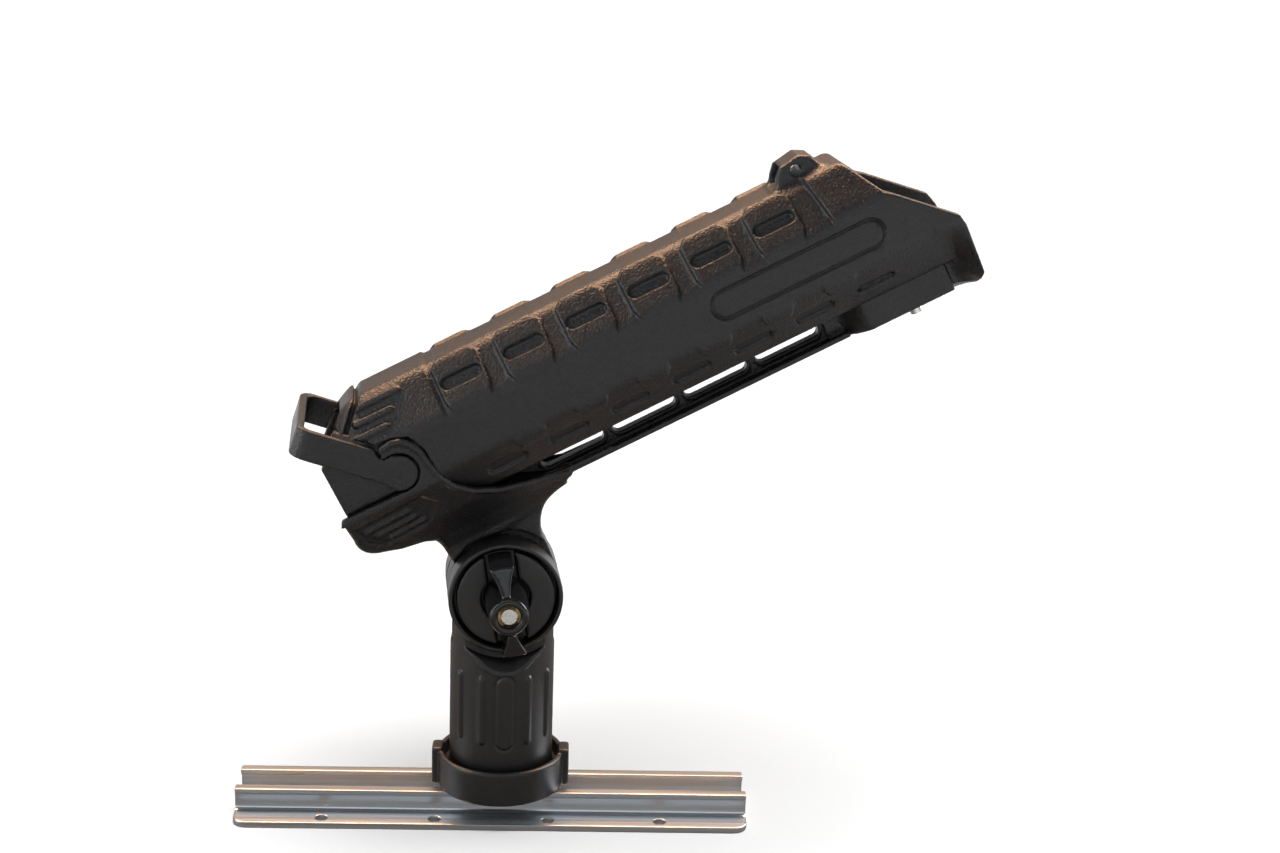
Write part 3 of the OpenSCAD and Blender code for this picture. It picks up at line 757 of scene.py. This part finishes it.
def rail_field(g):
    section = polygon(RAIL_SECTION, g.y, g.z)
    section = smooth_max(section, g.y - TRACK_HALF, 0.3)
    corner = smooth_max(np.abs(g.x) - TRACK_REACH, g.y - TRACK_HALF, 7)
    body = smooth_max(section, corner, 0.5)
    for x in (22.25, 66.75):
        hole = np.hypot(np.abs(g.x) - x, g.y - 17.225)
        body = smooth_max(body, 2.35 - hole, 0.5)
    return body


def build_rail():
    g = Grid((-102.2, 0, -0.7), (102.2, 22.9, 11.9), 0.3, half=True)
    make_piece("extruded_rail", g, rail_field(g), RAIL_FRAME, "rail", ["track_rail"],
               "anodised_rail")


# ---- Carried-over parts ----


def finish_cad_parts():
    """Gives each CAD part its slot's material."""
    slots = {s["node"]: s["material_slot"] for s in frame["record"]["subparts"]}
    for name, part in frame["nodes"].items():
        material = MATERIALS[slots[name]]
        if part.material_slots:
            for material_slot in part.material_slots:
                material_slot.material = material
        else:
            part.data.materials.append(material)


# ---- Camera, floor and light ----


def add_camera():
    camera = bpy.data.objects.new("camera", bpy.data.cameras.new("camera"))
    bpy.context.collection.objects.link(camera)
    camera.data.lens = 58.03
    camera.data.clip_end = 20
    down, heading, roll = 0.2789, -0.0487, 0.0349
    turn = Euler((math.pi / 2 - down, 0, heading)).to_matrix().to_4x4()
    place = Matrix.Translation((0.0173, -0.7607, 0.3787))
    camera.matrix_world = place @ turn @ Matrix.Rotation(roll, 4, "Z")
    bpy.context.scene.camera = camera


def area_light(name, place, aim, size, power, colour=(1, 1, 1)):
    light = bpy.data.objects.new(name, bpy.data.lights.new(name, "AREA"))
    bpy.context.collection.objects.link(light)
    light.data.shape = "RECTANGLE"
    light.data.size, light.data.size_y = size
    light.data.energy = power
    light.data.color = colour
    light.location = place
    light.visible_diffuse = False
    light.rotation_euler = (Vector(aim) - Vector(place)).to_track_quat("-Z", "Y").to_euler()


def floor_material():
    """White to the camera. All other rays see painted shade on it: brown and dim near the object, and
    lighter away.
    """
    material, tree, shader = new_material("floor", (0.92, 0.92, 0.92), roughness=0.9, specular=0.1)
    rays = tree.nodes.new("ShaderNodeLightPath")
    place = tree.nodes.new("ShaderNodeTexCoord")
    reach = tree.nodes.new("ShaderNodeVectorMath")
    reach.operation = "LENGTH"
    tree.links.new(place.outputs["Object"], reach.inputs[0])
    away = remap(tree, reach.outputs["Value"], 0.03, 1, 0.2, 0.6)
    white = tree.nodes.new("ShaderNodeMath")
    white.operation = "MAXIMUM"
    tree.links.new(rays.outputs["Is Camera Ray"], white.inputs[0])
    tree.links.new(away, white.inputs[1])
    # painted shade: reflections and bounce light find the floor dark brown near the object, where its
    # shadow would fall, while the camera sees it white
    two_tone(tree, shader, white.outputs["Value"], (0.22, 0.19, 0.17), (0.92, 0.92, 0.92))
    return material


def add_studio():
    mesh = bpy.data.meshes.new("floor")
    mesh.from_pydata([(-9, -9, 0), (9, -9, 0), (9, 9, 0), (-9, 9, 0)], [], [(0, 1, 2, 3)])
    floor = bpy.data.objects.new("floor", mesh)
    bpy.context.collection.objects.link(floor)
    mesh.materials.append(floor_material())
    world = bpy.data.worlds.new("studio")
    bpy.context.scene.world = world
    world.use_nodes = True
    tree = world.node_tree
    background = tree.nodes["Background"]
    background.inputs["Color"].default_value = (1, 1, 1, 1)
    direction = tree.nodes.new("ShaderNodeTexCoord")
    split = tree.nodes.new("ShaderNodeSeparateXYZ")
    tree.links.new(direction.outputs["Generated"], split.inputs["Vector"])
    glow = remap(tree, split.outputs["Z"], 0.42, 0.10, 0.05, 0.6)
    tree.links.new(glow, background.inputs["Strength"])
    sun = bpy.data.objects.new("overhead", bpy.data.lights.new("overhead", "SUN"))
    bpy.context.collection.objects.link(sun)
    sun.data.energy = 3.6
    sun.data.angle = math.radians(50)
    sun.rotation_euler = Vector((-0.1, 0.1, -1)).to_track_quat("-Z", "Y").to_euler()
    sun.visible_glossy = False
    aim = (0.03, 0, 0.15)
    area_light("warm_strip", (0.0, 0.46, 0.96), aim, (1.6, 0.34), 34, (1, 0.60, 0.37))
    area_light("cool_front", (0.0, -0.9, 0.75), aim, (1.8, 0.4), 2.5, (0.90, 0.95, 1))
    area_light("right_key", (0.95, 0.35, 0.5), aim, (0.5, 0.6), 10, (0.93, 0.97, 1))
    area_light("left_key", (-0.95, -0.25, 0.45), aim, (0.5, 0.9), 5, (0.95, 0.97, 1))
    bpy.context.scene.view_settings.view_transform = "Standard"


add_camera()
build_holder()
build_bail()
build_post()
build_rail()
finish_cad_parts()
add_studio()
